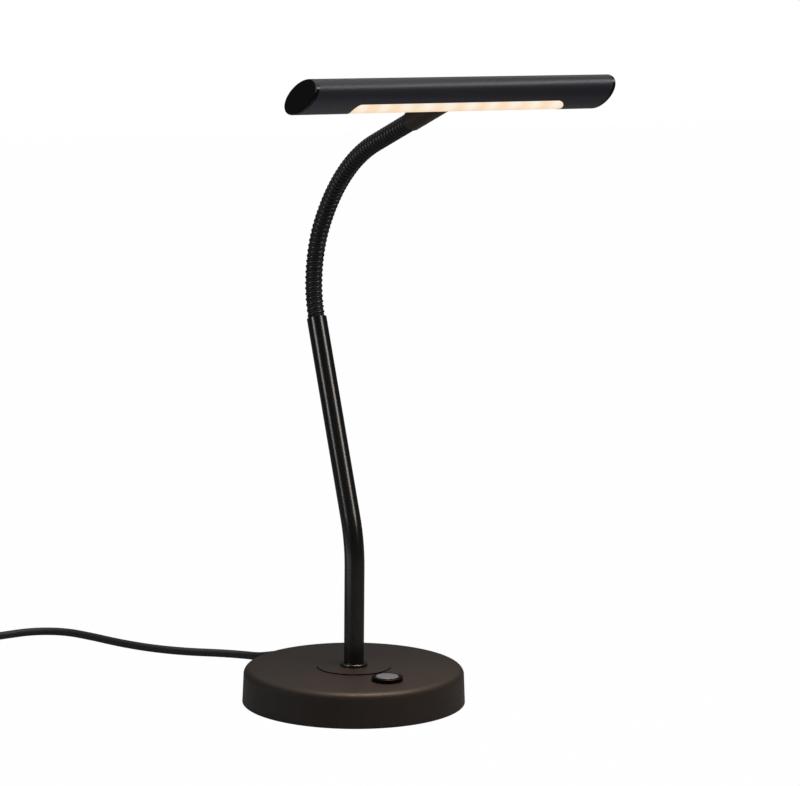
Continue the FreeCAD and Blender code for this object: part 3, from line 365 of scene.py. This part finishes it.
class PIANO_LAMP_OT_neck(bpy.types.Operator):
    """Winds the bendable neck from round wire and a filler wire, one length for each hinge"""

    bl_idname = "piano_lamp.neck"
    bl_label = "Wound neck"

    def wind(self, name, wire_radius, centre_radius, start_angle, sides):
        """One wire wound round +Z, as long as the neck."""
        bpy.ops.object.select_all(action="DESELECT")
        bpy.ops.mesh.primitive_circle_add(
            vertices=sides, radius=wire_radius, location=(0, 0, 0), rotation=(math.pi / 2, 0, 0)
        )
        wire = named(name)
        settle(wire)
        bpy.ops.object.mode_set(mode="EDIT")
        bpy.ops.mesh.select_all(action="SELECT")
        bpy.ops.transform.translate(value=(centre_radius, 0, 0))
        bpy.ops.object.mode_set(mode="OBJECT")
        pitch = sizes().neck_length / sizes().neck_turns
        screw = wire.modifiers.new("Winding", "SCREW")
        screw.axis = "Z"
        screw.screw_offset = pitch
        screw.iterations = sizes().neck_turns + 2
        screw.steps = STEPS_PER_TURN
        screw.render_steps = STEPS_PER_TURN
        screw.use_smooth_shade = True
        apply_all(wire)
        wire.data.transform(Matrix.Rotation(start_angle, 4, "Z"))
        wire.data.transform(Matrix.Translation((0, 0, -pitch)))
        return wire

    def core(self, radius):
        """The tube that closes the gaps between the turns; it wears the painted shade of the gaps."""
        bpy.ops.object.select_all(action="DESELECT")
        span = sizes().neck_length
        bpy.ops.mesh.primitive_cylinder_add(
            vertices=32, radius=radius, depth=span, location=(0, 0, span / 2), end_fill_type="NGON"
        )
        tube = named("neck_core")
        settle(tube)
        bpy.ops.object.mode_set(mode="EDIT")
        for cut in range(1, CORE_SLICES):
            bpy.ops.mesh.select_all(action="SELECT")
            bpy.ops.mesh.bisect(plane_co=(0, 0, span * cut / CORE_SLICES), plane_no=(0, 0, 1))
        bpy.ops.object.mode_set(mode="OBJECT")
        return tube

    def trim(self, piece, low, high):
        """Cuts a straight piece to a stretch of the line and closes its ends."""
        only(piece)
        bpy.ops.object.mode_set(mode="EDIT")
        for height, sign in ((low, -1), (high, 1)):
            bpy.ops.mesh.select_all(action="SELECT")
            bpy.ops.mesh.bisect(
                plane_co=(0, 0, height), plane_no=(0, 0, sign), clear_outer=True, use_fill=True
            )
        bpy.ops.object.mode_set(mode="OBJECT")

    def bend(self, piece):
        """Lays a straight piece along the neck's line."""
        origin = neck_origin()
        side = Vector((1, 0, 0))
        for vertex in piece.data.vertices:
            point, slope = line_point(max(vertex.co.z, 0.0))
            onward = heading(slope)
            back = onward.cross(side)
            vertex.co = origin + point + side * vertex.co.x + back * vertex.co.y
        piece.data.update()

    def execute(self, context):
        size = sizes()
        pitch = size.neck_length / size.neck_turns
        wire_radius = size.wire_diameter / 2
        filler_radius = size.filler_diameter / 2
        outside = size.neck_diameter / 2
        bodies = ["root", "neck_1", "neck_2", "neck_3", "neck_4", "neck_5", "neck_6", "head"]
        cuts = [0.0]
        for low, high in zip(HINGE_TURNS, HINGE_TURNS[1:]):
            cuts.append((low + high) / 2 * pitch)
        cuts.append(size.neck_length)
        joints = [j for j in frame["joints"] if j["name"].startswith("neck_")]
        joints.sort(key=lambda joint: bodies.index(joint["child"]))
        coating = finish("Neck coating", finishes().neck_black, 0.3, grain=2500.0, depth=0.003, wander=0.03)
        # Painted shade for the gaps between the turns: the filler wire and the core are darker than the
        # wire's coating.
        gap_shade = finish("Neck gaps, painted shade", finishes().neck_gap_shade, 0.6, grain=2500.0, depth=0.1)
        for index, (low, high) in enumerate(zip(cuts, cuts[1:])):
            wires = [
                self.wind("neck_wire", wire_radius, outside - wire_radius, 0.0, 12),
                self.wind(
                    "neck_filler", filler_radius, outside - size.filler_depth - filler_radius, math.pi, 8
                ),
                self.core(outside - wire_radius * 1.3),
            ]
            for wire, surface in zip(wires, (coating, gap_shade, gap_shade)):
                self.trim(wire, low, high)
                self.bend(wire)
                wire.data.materials.append(surface)
            only(wires[0])
            for wire in wires[1:]:
                wire.select_set(True)
            bpy.ops.object.join()
            piece = named(f"neck_length_{index + 1}")
            bpy.ops.object.shade_smooth_by_angle(angle=math.radians(50))
            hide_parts(f"neck_coil_{index}")
            if index == len(cuts) - 2:
                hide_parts(f"neck_coil_{index + 1}")
            _, slope = line_point(HINGE_TURNS[index] * pitch)
            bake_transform(piece)
        return {"FINISHED"}


CORD_EXIT = (0.0, 0.105782, 0.010)
CORD_ROUTE = (
    CORD_EXIT,
    (0.0, 0.114, 0.0098),
    (-0.001, 0.1255, 0.0069),
    (-0.004, 0.138, 0.0037),
    (-0.010, 0.151, 0.003),
    (-0.024, 0.165, 0.003),
    (-0.043, 0.180, 0.003),
    (-0.061, 0.202, 0.003),
    (-0.075, 0.230, 0.003),
    (-0.085, 0.261, 0.003),
    (-0.096, 0.287, 0.003),
    (-0.118, 0.300, 0.003),
    (-0.144, 0.2975, 0.003),
    (-0.169, 0.2955, 0.003),
    (-0.194, 0.2978, 0.003),
    (-0.213, 0.3003, 0.003),
)
COIL_CENTRE = Vector((-0.228, 0.2545, 0))
COIL_RADII = (0.046, 0.040, 0.034, 0.028)
COIL_TURNS = 6.25
COIL_POINTS = 24
LOWER_CROSSING = 12
UPPER_CROSSING = 20
PLUG_RUN = ((-0.2696, 0.242, 0.009), (-0.270, 0.230, 0.0069), (-0.270, 0.218, 0.0069))


class PIANO_LAMP_OT_cord(bpy.types.Operator):
    """Lays the mains cord from the base to its plug, with the spare length in a coil"""

    bl_idname = "piano_lamp.cord"
    bl_label = "Cord"

    def eased(self, place, crossing):
        """How far a turn has crossed to its neighbour's line, in its last few points."""
        share = max(0.0, (place - COIL_POINTS + crossing) / crossing)
        return share * share * (3 - 2 * share)

    def coil(self):
        """The coil's points: turns on the floor, going in, then turns on top of them, going out."""
        thick = sizes().cord_diameter
        spread = 2 / (1 + math.cos(math.pi / COIL_POINTS))
        last = len(COIL_RADII) - 1
        points = []
        for step in range(int(COIL_POINTS * COIL_TURNS) + 1):
            turn, place = divmod(step, COIL_POINTS)
            share = self.eased(place, LOWER_CROSSING)
            radius, height = COIL_RADII[min(turn, last)], thick / 2
            if turn < last:
                radius -= thick * share
            elif turn == last:
                climb = share * math.pi / 2
                radius += thick * (1 - share - math.cos(climb))
                height += thick * math.sin(climb)
            else:
                radius += thick * (turn - last - 1 + self.eased(place, UPPER_CROSSING))
                height += thick
            angle = math.pi / 2 + 2 * math.pi * step / COIL_POINTS
            around = Vector((math.cos(angle), math.sin(angle), 0)) * radius * spread
            points.append(COIL_CENTRE + around + Vector((0, 0, height)))
        return points

    def execute(self, context):
        size = sizes()
        points = [Vector(point) for point in CORD_ROUTE] + self.coil()
        points += [Vector(point) for point in PLUG_RUN]
        line = bpy.data.curves.new("cord", "CURVE")
        line.dimensions = "3D"
        line.resolution_u = 5
        line.bevel_depth = size.cord_diameter / 2
        line.bevel_resolution = 5
        line.use_fill_caps = True
        spline = line.splines.new("NURBS")
        spline.points.add(len(points) - 1)
        for knot, point in zip(spline.points, points):
            knot.co = (*point, 1)
        spline.order_u = 3
        spline.use_endpoint_u = True
        cord = bpy.data.objects.new("cord", line)
        bpy.context.scene.collection.objects.link(cord)
        jacket = finish(
            "Cord jacket", finishes().jacket, 0.45, grain=1800.0, depth=0.1, wander=0.06, dust=0.04
        )
        cord.data.materials.append(jacket)
        wear(jacket, "plug_body", "cord_bushing", "cord_tail")
        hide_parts("cord_tube", "cord_coil", "cord_plug_run")
        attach(cord, "root")
        return {"FINISHED"}


class PIANO_LAMP_OT_base(bpy.types.Operator):
    """Paints the base, its flange and its underside"""

    bl_idname = "piano_lamp.base"
    bl_label = "Base"

    def paint_rim_shade(self, material):
        """Paints shade on the steep edge of a flat disc: the step's wall turns dark and loses its
        reflection.
        """
        material.name = "Bronze paint, dark rim"
        tree = material.node_tree
        shader = tree.nodes["Principled BSDF"]
        split = tree.nodes.new("ShaderNodeSeparateXYZ")
        tree.links.new(tree.nodes.new("ShaderNodeNewGeometry").outputs["Normal"], split.inputs[0])
        above = math_node(tree, "SUBTRACT", split.outputs["Z"], 0.6)
        flat = math_node(tree, "MULTIPLY", above, 3.0, clamp=True)
        rim = tree.nodes.new("ShaderNodeMix")
        rim.data_type = "RGBA"
        # Painted shade: the near-black colour of the flange's step wall.
        rim.inputs[6].default_value = (*paint(6, 4, 3), 1)
        tree.links.new(flat, rim.inputs[0])
        tree.links.new(shader.inputs["Base Color"].links[0].from_socket, rim.inputs[7])
        tree.links.new(rim.outputs[2], shader.inputs["Base Color"])
        # The step wall's reflection is taken away as well, as part of the painted shade.
        tree.links.new(math_node(tree, "MULTIPLY", flat, 0.4), shader.inputs["Specular IOR Level"])
        return material

    def execute(self, context):
        bronze = finish(
            "Bronze paint", finishes().bronze, 0.46, grain=3500.0, depth=0.12, wander=0.05, dust=0.02
        )
        bronze.node_tree.nodes["Principled BSDF"].inputs["Specular IOR Level"].default_value = 0.4
        wear(bronze, "base_shell")
        # The flange wears the bronze with painted shade on its step wall.
        wear(self.paint_rim_shade(bronze.copy()), "stem_flange")
        wear(finish("Foam pad", paint(30, 30, 30), 0.9, grain=2500.0, depth=0.6), "base_foot_pad")
        wear(finish("Plate paint", paint(36, 36, 37), 0.5, grain=2500.0, depth=0.2), "base_plate")
        wear(finish("Cast iron", paint(58, 58, 58), 0.8, grain=900.0, depth=0.7), "base_weight")
        return {"FINISHED"}


class PIANO_LAMP_OT_stem(bpy.types.Operator):
    """Paints the stem, its collar and the sleeve at the neck's other end"""

    bl_idname = "piano_lamp.stem"
    bl_label = "Stem"

    def execute(self, context):
        black = finish("Stem paint", finishes().black, 0.24, grain=2500.0, depth=0.001, wander=0.02)
        wear(black, "stem_tube")
        gloss = finish(
            "Collar gloss", finishes().black, 0.15, grain=2500.0, depth=0.003, Specular_IOR_Level=1.0
        )
        wear(gloss, "stem_collar")
        # The sleeve's warm tint is painted glow from the diffuser.
        sleeve = finish("Sleeve coating", finishes().sleeve_glow_tinted_black, 0.42, grain=2500.0, depth=0.06)
        wear(sleeve, "neck_sleeve")
        return {"FINISHED"}


class PIANO_LAMP_OT_head(bpy.types.Operator):
    """Finishes the head tube, its caps and the diffuser"""

    bl_idname = "piano_lamp.head"
    bl_label = "Head"

    def light_up(self, opal):
        """Makes the diffuser glow: whiter over each chip, and deeper in colour where it curves away."""
        tree = opal.node_tree
        shader = tree.nodes["Principled BSDF"]
        place = tree.nodes.new("ShaderNodeTexCoord").outputs["Object"]
        split = tree.nodes.new("ShaderNodeSeparateXYZ")
        tree.links.new(place, split.inputs[0])
        along = math_node(tree, "SUBTRACT", split.outputs["X"], HEAD_SHIFT)
        wave = math_node(tree, "COSINE", math_node(tree, "MULTIPLY", along, 2 * math.pi / CHIP_PITCH), 0.0)
        cloud = noise(tree, place, 45.0, 2.0, 0.5)
        between = math_node(tree, "MULTIPLY", math_node(tree, "ADD", wave, 1.0), cloud, clamp=True)
        tint = tree.nodes.new("ShaderNodeMix")
        tint.data_type = "RGBA"
        tint.inputs[6].default_value = (*finishes().glow, 1)
        tint.inputs[7].default_value = (*finishes().glow_between, 1)
        tree.links.new(between, tint.inputs[0])
        facing = tree.nodes.new("ShaderNodeLayerWeight")
        facing.inputs["Blend"].default_value = 0.5
        away = math_node(tree, "POWER", facing.outputs["Facing"], 3.0)
        deep = tree.nodes.new("ShaderNodeMix")
        deep.data_type = "RGBA"
        deep.inputs[7].default_value = (*finishes().glow_edge, 1)
        tree.links.new(away, deep.inputs[0])
        tree.links.new(tint.outputs[2], deep.inputs[6])
        tree.links.new(deep.outputs[2], shader.inputs["Emission Color"])
        shader.inputs["Emission Strength"].default_value = 0.93
        wear(opal, "diffuser")

    def execute(self, context):
        matte = finish("Head finish", finishes().head_black, 0.32, grain=3000.0, depth=0.05, wander=0.03)
        wear(matte, "head_tube")
        caps = finish("Cap plastic", finishes().gloss_black, 0.12, grain=1500.0, depth=0.02, wander=0.03)
        wear(caps, "head_cap_left", "head_cap_right")
        self.light_up(finish("Opal plastic", finishes().opal, 0.45, grain=1500.0, depth=0.03, tone=0.02))
        return {"FINISHED"}


class PIANO_LAMP_OT_switch(bpy.types.Operator):
    """Finishes the push switch on the base"""

    bl_idname = "piano_lamp.switch"
    bl_label = "Switch"

    def execute(self, context):
        bezel = finish(
            "Bezel satin", paint(9, 8, 7), 0.38, grain=1500.0, depth=0.03, Specular_IOR_Level=0.15
        )
        wear(bezel, "switch_bezel")
        # The lighter grey of the button's face is partly painted reflection.
        button = finish("Button face", finishes().button_painted_reflection_grey, 0.3, grain=2500.0, depth=0.05)
        wear(button, "switch_button")
        return {"FINISHED"}


class PIANO_LAMP_OT_inside(bpy.types.Operator):
    """Finishes the pieces inside the lamp: fixings, electrics and leads"""

    bl_idname = "piano_lamp.inside"
    bl_label = "Inner pieces"

    def execute(self, context):
        zinc = finish("Zinc plate", paint(190, 190, 188), 0.32, grain=1200.0, depth=0.05, Metallic=1.0)
        wear(zinc, "base_plate_screws", "stem_nut", "stem_washer", "stem_nipple", "sleeve_grub_screw")
        wear(zinc, "led_board_screws", "cord_clamp_screws", "switch_nut", "switch_spring", "plug_pins")
        wear(zinc, "head_lock_nut")
        brass = finish("Turned brass", paint(190, 160, 105), 0.3, grain=1200.0, depth=0.05, Metallic=1.0)
        wear(brass, "neck_ferrule")
        white = finish("White jacket", paint(215, 214, 210), 0.5, grain=1200.0, depth=0.05)
        leads = ["stem_lead", "head_lead", "switch_wires", "driver_wires"]
        wear(white, *leads, *[f"neck_lead_{index}" for index in range(1, 7)])
        case = finish("Moulded case", paint(200, 199, 195), 0.55, grain=900.0, depth=0.2)
        wear(case, "driver_unit", "terminal_block")
        dark = finish("Moulded black", paint(34, 34, 35), 0.5, grain=1500.0, depth=0.2)
        wear(dark, "switch_body", "cord_clamp")
        sink = finish("Extruded metal", paint(200, 200, 203), 0.35, grain=700.0, depth=0.1, Metallic=1.0)
        wear(sink, "led_heat_sink")
        wear(finish("Board mask", paint(224, 225, 220), 0.35, grain=900.0, depth=0.05), "led_board")
        chips = finish("Phosphor", paint(240, 214, 120), 0.5, grain=2000.0, depth=0.1)
        wear(chips, "led_chips")
        return {"FINISHED"}


UNLIT_BY_STRIPS = (
    "head_tube", "head_cap_left", "head_cap_right", "diffuser", "base_shell", "stem_flange",
    "switch_bezel", "switch_button",
)
CORD_PIECES = ("cord", "cord_bushing", "cord_tail", "plug_body")
CAMERA_PLACE = (-1.0327, -1.7807, 0.5296)
CAMERA_LENS = 132.3
CAMERA_DOWN_DEG = 8.452
CAMERA_TURN_DEG = -30.984
CAMERA_ROLL_DEG = 0.51
FLOOR_SIZE = 12
FLOOR_DROP = 0.2 * MM
FLOOR_COLOUR = 0.16
FLOOR_WHITE_SHARE = 0.992
FLOOR_GLOSS_SHARE = 0.08
ROOM_GLOSS_SHARE = 0.035
ROOM_STRENGTH = 0.04
LIT_BY_GLOW = (
    "floor", "base_shell", "stem_flange", "stem_collar", "stem_tube", "switch_bezel", "switch_button",
)


class PIANO_LAMP_OT_stage(bpy.types.Operator):
    """Sets the pale floor, the soft lights, the world and the camera"""

    bl_idname = "piano_lamp.stage"
    bl_label = "Stage"

    def seen_white(self, tree, gloss_share):
        """Shows plain white to the camera and through clear things, and a share of it to gloss."""
        path = tree.nodes.new("ShaderNodeLightPath")
        gloss = math_node(tree, "MULTIPLY", path.outputs["Is Glossy Ray"], gloss_share)
        seen = math_node(tree, "MAXIMUM", path.outputs["Is Camera Ray"], path.outputs["Is Transmission Ray"])
        return math_node(tree, "MAXIMUM", seen, gloss)

    def floor(self):
        bpy.ops.object.select_all(action="DESELECT")
        bpy.ops.mesh.primitive_plane_add(size=FLOOR_SIZE, location=(0, 0, -FLOOR_DROP))
        floor = named("floor")
        material = bpy.data.materials.new("Pale floor")
        material.use_nodes = True
        tree = material.node_tree
        shader = tree.nodes["Principled BSDF"]
        shader.inputs["Base Color"].default_value = (FLOOR_COLOUR, FLOOR_COLOUR, FLOOR_COLOUR, 1)
        shader.inputs["Roughness"].default_value = 0.8
        glow = tree.nodes.new("ShaderNodeEmission")
        glow.inputs["Color"].default_value = (1, 1, 1, 1)
        glow.inputs["Strength"].default_value = 1.0
        mixer = tree.nodes.new("ShaderNodeMixShader")
        share = self.seen_white(tree, FLOOR_GLOSS_SHARE)
        share = math_node(tree, "MULTIPLY", share, FLOOR_WHITE_SHARE)
        tree.links.new(share, mixer.inputs[0])
        tree.links.new(shader.outputs[0], mixer.inputs[1])
        tree.links.new(glow.outputs[0], mixer.inputs[2])
        clear = tree.nodes.new("ShaderNodeBsdfTransparent")
        side = tree.nodes.new("ShaderNodeNewGeometry").outputs["Backfacing"]
        sided = tree.nodes.new("ShaderNodeMixShader")
        tree.links.new(side, sided.inputs[0])
        tree.links.new(mixer.outputs[0], sided.inputs[1])
        tree.links.new(clear.outputs[0], sided.inputs[2])
        tree.links.new(sided.outputs[0], tree.nodes["Material Output"].inputs["Surface"])
        floor.data.materials.append(material)

    def world(self):
        world = bpy.context.scene.world or bpy.data.worlds.new("World")
        bpy.context.scene.world = world
        world.use_nodes = True
        tree = world.node_tree
        tree.nodes.clear()
        out = tree.nodes.new("ShaderNodeOutputWorld")
        room = tree.nodes.new("ShaderNodeBackground")
        room.inputs["Color"].default_value = (0.95, 0.97, 1.0, 1)
        room.inputs["Strength"].default_value = ROOM_STRENGTH
        white = tree.nodes.new("ShaderNodeBackground")
        white.inputs["Color"].default_value = (1, 1, 1, 1)
        white.inputs["Strength"].default_value = 1.0
        mixer = tree.nodes.new("ShaderNodeMixShader")
        tree.links.new(self.seen_white(tree, ROOM_GLOSS_SHARE), mixer.inputs[0])
        tree.links.new(room.outputs[0], mixer.inputs[1])
        tree.links.new(white.outputs[0], mixer.inputs[2])
        tree.links.new(mixer.outputs[0], out.inputs["Surface"])

    def softbox(self, name, place, aim, size, power, tint=(1, 1, 1), spread=180):
        """A soft lamp of a width and a height, turned to its aim."""
        light = bpy.data.lights.new(name, "AREA")
        light.shape = "RECTANGLE"
        light.size, light.size_y = size
        light.energy = power
        light.color = tint
        light.spread = math.radians(spread)
        lamp = bpy.data.objects.new(name, light)
        bpy.context.scene.collection.objects.link(lamp)
        lamp.location = place
        lamp.rotation_euler = (Vector(aim) - Vector(place)).to_track_quat("-Z", "Y").to_euler()
        return lamp

    def link(self, lamps, state, *names):
        """Keeps some lamps' light off the named pieces, or only on them."""
        linked = bpy.data.collections.new(f"{state.title()} for the {lamps[0].name}")
        for name in names:
            linked.objects.link(bpy.data.objects[name])
        for item in linked.collection_objects:
            item.light_linking.link_state = state
        for lamp in lamps:
            lamp.light_linking.receiver_collection = linked

    def camera(self):
        camera = bpy.data.cameras.new("Camera")
        camera.lens = CAMERA_LENS
        camera.sensor_width = 36
        view = bpy.data.objects.new("Camera", camera)
        bpy.context.scene.collection.objects.link(view)
        turn = Euler((math.radians(90 - CAMERA_DOWN_DEG), 0, math.radians(CAMERA_TURN_DEG))).to_matrix()
        roll = Matrix.Rotation(math.radians(CAMERA_ROLL_DEG), 3, "Z")
        view.rotation_euler = (turn @ roll).to_euler()
        view.location = CAMERA_PLACE
        bpy.context.scene.camera = view

    def execute(self, context):
        bpy.context.scene.view_settings.view_transform = "Standard"
        self.floor()
        self.world()
        middle, neck, stem, foot = (0, 0, 0), (0, -0.1, 0.44), (0, 0, 0.25), (0, 0, 0.03)
        head, below = (0, -0.13, 0.44), (0, -0.20, 0)
        self.softbox("ceiling", (0, 0, 2.2), middle, size=(2.4, 2.4), power=16)
        self.softbox("front box", (0.75, -0.62, 1.60), neck, size=(1.6, 0.16), power=4.2)
        self.softbox("rear box", (0.82, 0.92, 1.32), neck, size=(1.6, 0.35), power=1.3)
        left_strip = self.softbox("left strip", (-1.35, -0.10, 0.68), stem, size=(0.34, 0.50), power=4.8)
        right_strip = self.softbox(
            "right strip", (0.68, -1.185, 0.98), stem, size=(0.40, 0.60), power=8.5, tint=(1, 0.94, 0.88)
        )
        low_card = self.softbox(
            "low card", (-0.70, 0.25, 0.10), (0, 0, 0.10), size=(0.7, 0.18), power=0.2, tint=(0.9, 0.94, 1)
        )
        near_card = self.softbox("near card", (-0.39, 0.07, 0.03), foot, size=(0.44, 0.06), power=0.085)
        floor_card = self.softbox("floor card", (-0.20, -0.42, 0.03), head, size=(0.4, 0.2), power=1.3)
        glow = self.softbox(
            "glow", (0.035, -0.133, 0.425), below, size=(0.28, 0.03), power=0.65, tint=(1, 0.66, 0.42),
            spread=100,
        )
        self.link([left_strip, right_strip], "EXCLUDE", *UNLIT_BY_STRIPS, *CORD_PIECES)
        self.link([low_card], "EXCLUDE", "stem_tube", *CORD_PIECES)
        self.link([near_card], "INCLUDE", "stem_tube", "stem_collar")
        self.link([floor_card], "INCLUDE", "head_tube")
        self.link([glow], "INCLUDE", *LIT_BY_GLOW)
        self.camera()
        return {"FINISHED"}


class PIANO_LAMP_PT_panel(bpy.types.Panel):
    """Lists the lamp's steps in order"""

    bl_idname = "PIANO_LAMP_PT_panel"
    bl_label = "Piano lamp"
    bl_space_type = "VIEW_3D"
    bl_region_type = "UI"
    bl_category = "Piano lamp"

    def draw(self, context):
        column = self.layout.column()
        for step in STEPS:
            column.operator(step.bl_idname)


STEPS = (
    PIANO_LAMP_OT_cord,
    PIANO_LAMP_OT_base,
    PIANO_LAMP_OT_stem,
    PIANO_LAMP_OT_neck,
    PIANO_LAMP_OT_head,
    PIANO_LAMP_OT_switch,
    PIANO_LAMP_OT_inside,
    PIANO_LAMP_OT_stage,
)
CLASSES = (PIANO_LAMP_PG_sizes, PIANO_LAMP_PG_finishes, *STEPS, PIANO_LAMP_PT_panel)


def register():
    for item in CLASSES:
        bpy.utils.register_class(item)
    bpy.types.Scene.piano_lamp_sizes = bpy.props.PointerProperty(type=PIANO_LAMP_PG_sizes)
    bpy.types.Scene.piano_lamp_finishes = bpy.props.PointerProperty(type=PIANO_LAMP_PG_finishes)


def unregister():
    del bpy.types.Scene.piano_lamp_finishes
    del bpy.types.Scene.piano_lamp_sizes
    for item in reversed(CLASSES):
        bpy.utils.unregister_class(item)


def main():
    register()
    bpy.ops.piano_lamp.cord()
    bpy.ops.piano_lamp.base()
    bpy.ops.piano_lamp.stem()
    bpy.ops.piano_lamp.neck()
    bpy.ops.piano_lamp.head()
    bpy.ops.piano_lamp.switch()
    bpy.ops.piano_lamp.inside()
    bpy.ops.piano_lamp.stage()


if __name__ == "__main__":
    main()
